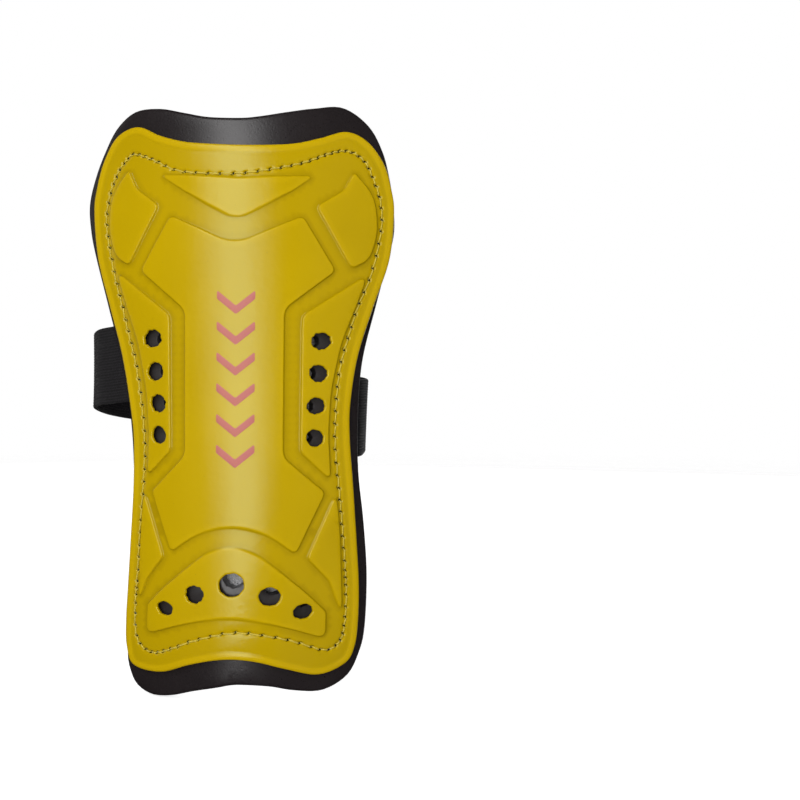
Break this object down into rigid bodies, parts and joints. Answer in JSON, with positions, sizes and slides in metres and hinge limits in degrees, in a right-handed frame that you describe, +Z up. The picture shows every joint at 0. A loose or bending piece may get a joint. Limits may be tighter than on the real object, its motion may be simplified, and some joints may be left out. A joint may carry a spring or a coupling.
{
  "type": "shin guard",
  "caption": "Strap-on shin guard: curved glossy moulded shell with raised panels and vent holes, stitched to a foam liner, with an elastic hook-and-loop strap behind.",
  "frame": {"origin": "the point of the lining that touches the front of the shin, on the guard's centre line at mid-height", "axes": "+Z up the shin towards the knee, +Y from the guard into the leg, +X to the right of someone looking at the shell's outer face"},
  "size_m": [0.1151, 0.0798, 0.2031],
  "materials": {
    "shell_vinyl": "semi-gloss moulded yellow vinyl",
    "liner_foam": "charcoal closed-cell foam with a soft sheen",
    "lining_knit": "matt light grey brushed knit",
    "seam_thread": "yellow polyester thread",
    "strap_elastic": "black ribbed elastic webbing",
    "strap_thread": "black polyester thread",
    "hook_and_loop": "black hook-and-loop tape",
    "shell_print": "salmon screen-printed ink"
  },
  "bodies": {
    "guard": {"shell": "shell_vinyl", "foam_liner": "liner_foam", "lining_fabric": "lining_knit", "needle_thread": "seam_thread", "bobbin_thread": "seam_thread", "long_strap_anchor": "strap_elastic", "long_strap_tack": "strap_thread", "short_strap_anchor": "strap_elastic", "short_strap_tack": "strap_thread"},
    "long_side": {"long_strap_side": "strap_elastic"},
    "long_back": {"long_strap_back": "strap_elastic"},
    "long_tip": {"long_strap_tip": "strap_elastic", "hook_patch": "hook_and_loop", "hook_patch_stitching": "strap_thread"},
    "short_side": {"short_strap_side": "strap_elastic"},
    "short_tip": {"short_strap_tip": "strap_elastic", "loop_patch": "hook_and_loop", "loop_patch_stitching": "strap_thread"}
  },
  "joints": [
    {"name": "strap_open", "type": "hinge", "parent": "guard", "child": "long_side", "pos_m": [-0.04366, 0.01802, 0.01286], "axis": [0, 0, 1], "range_deg": [0, 40]},
    {"name": "long_back_flex", "type": "hinge", "parent": "long_side", "child": "long_back", "pos_m": [-0.05536, 0.04965, 0.00706], "axis": [0, 0, 1], "range_deg": [0, 40]},
    {"name": "long_tip_flex", "type": "hinge", "parent": "long_back", "child": "long_tip", "pos_m": [-0.01568, 0.06942, 0.00125], "axis": [0, 0, 1], "range_deg": [0, 30]},
    {"name": "short_side_flex", "type": "hinge", "parent": "guard", "child": "short_side", "pos_m": [0.03845, 0.01609, -0.00652], "axis": [0, 0, 1], "range_deg": [-20, 0]},
    {"name": "short_tip_flex", "type": "hinge", "parent": "short_side", "child": "short_tip", "pos_m": [0.03956, 0.0463, -0.00513], "axis": [0, 0, 1], "range_deg": [-20, 0]}
  ],
  "couplings": [
    {"joint": "long_back_flex", "follows": "strap_open", "ratio": 1},
    {"joint": "long_tip_flex", "follows": "strap_open", "ratio": 0.75},
    {"joint": "short_side_flex", "follows": "strap_open", "ratio": -0.5},
    {"joint": "short_tip_flex", "follows": "strap_open", "ratio": -0.5}
  ]
}
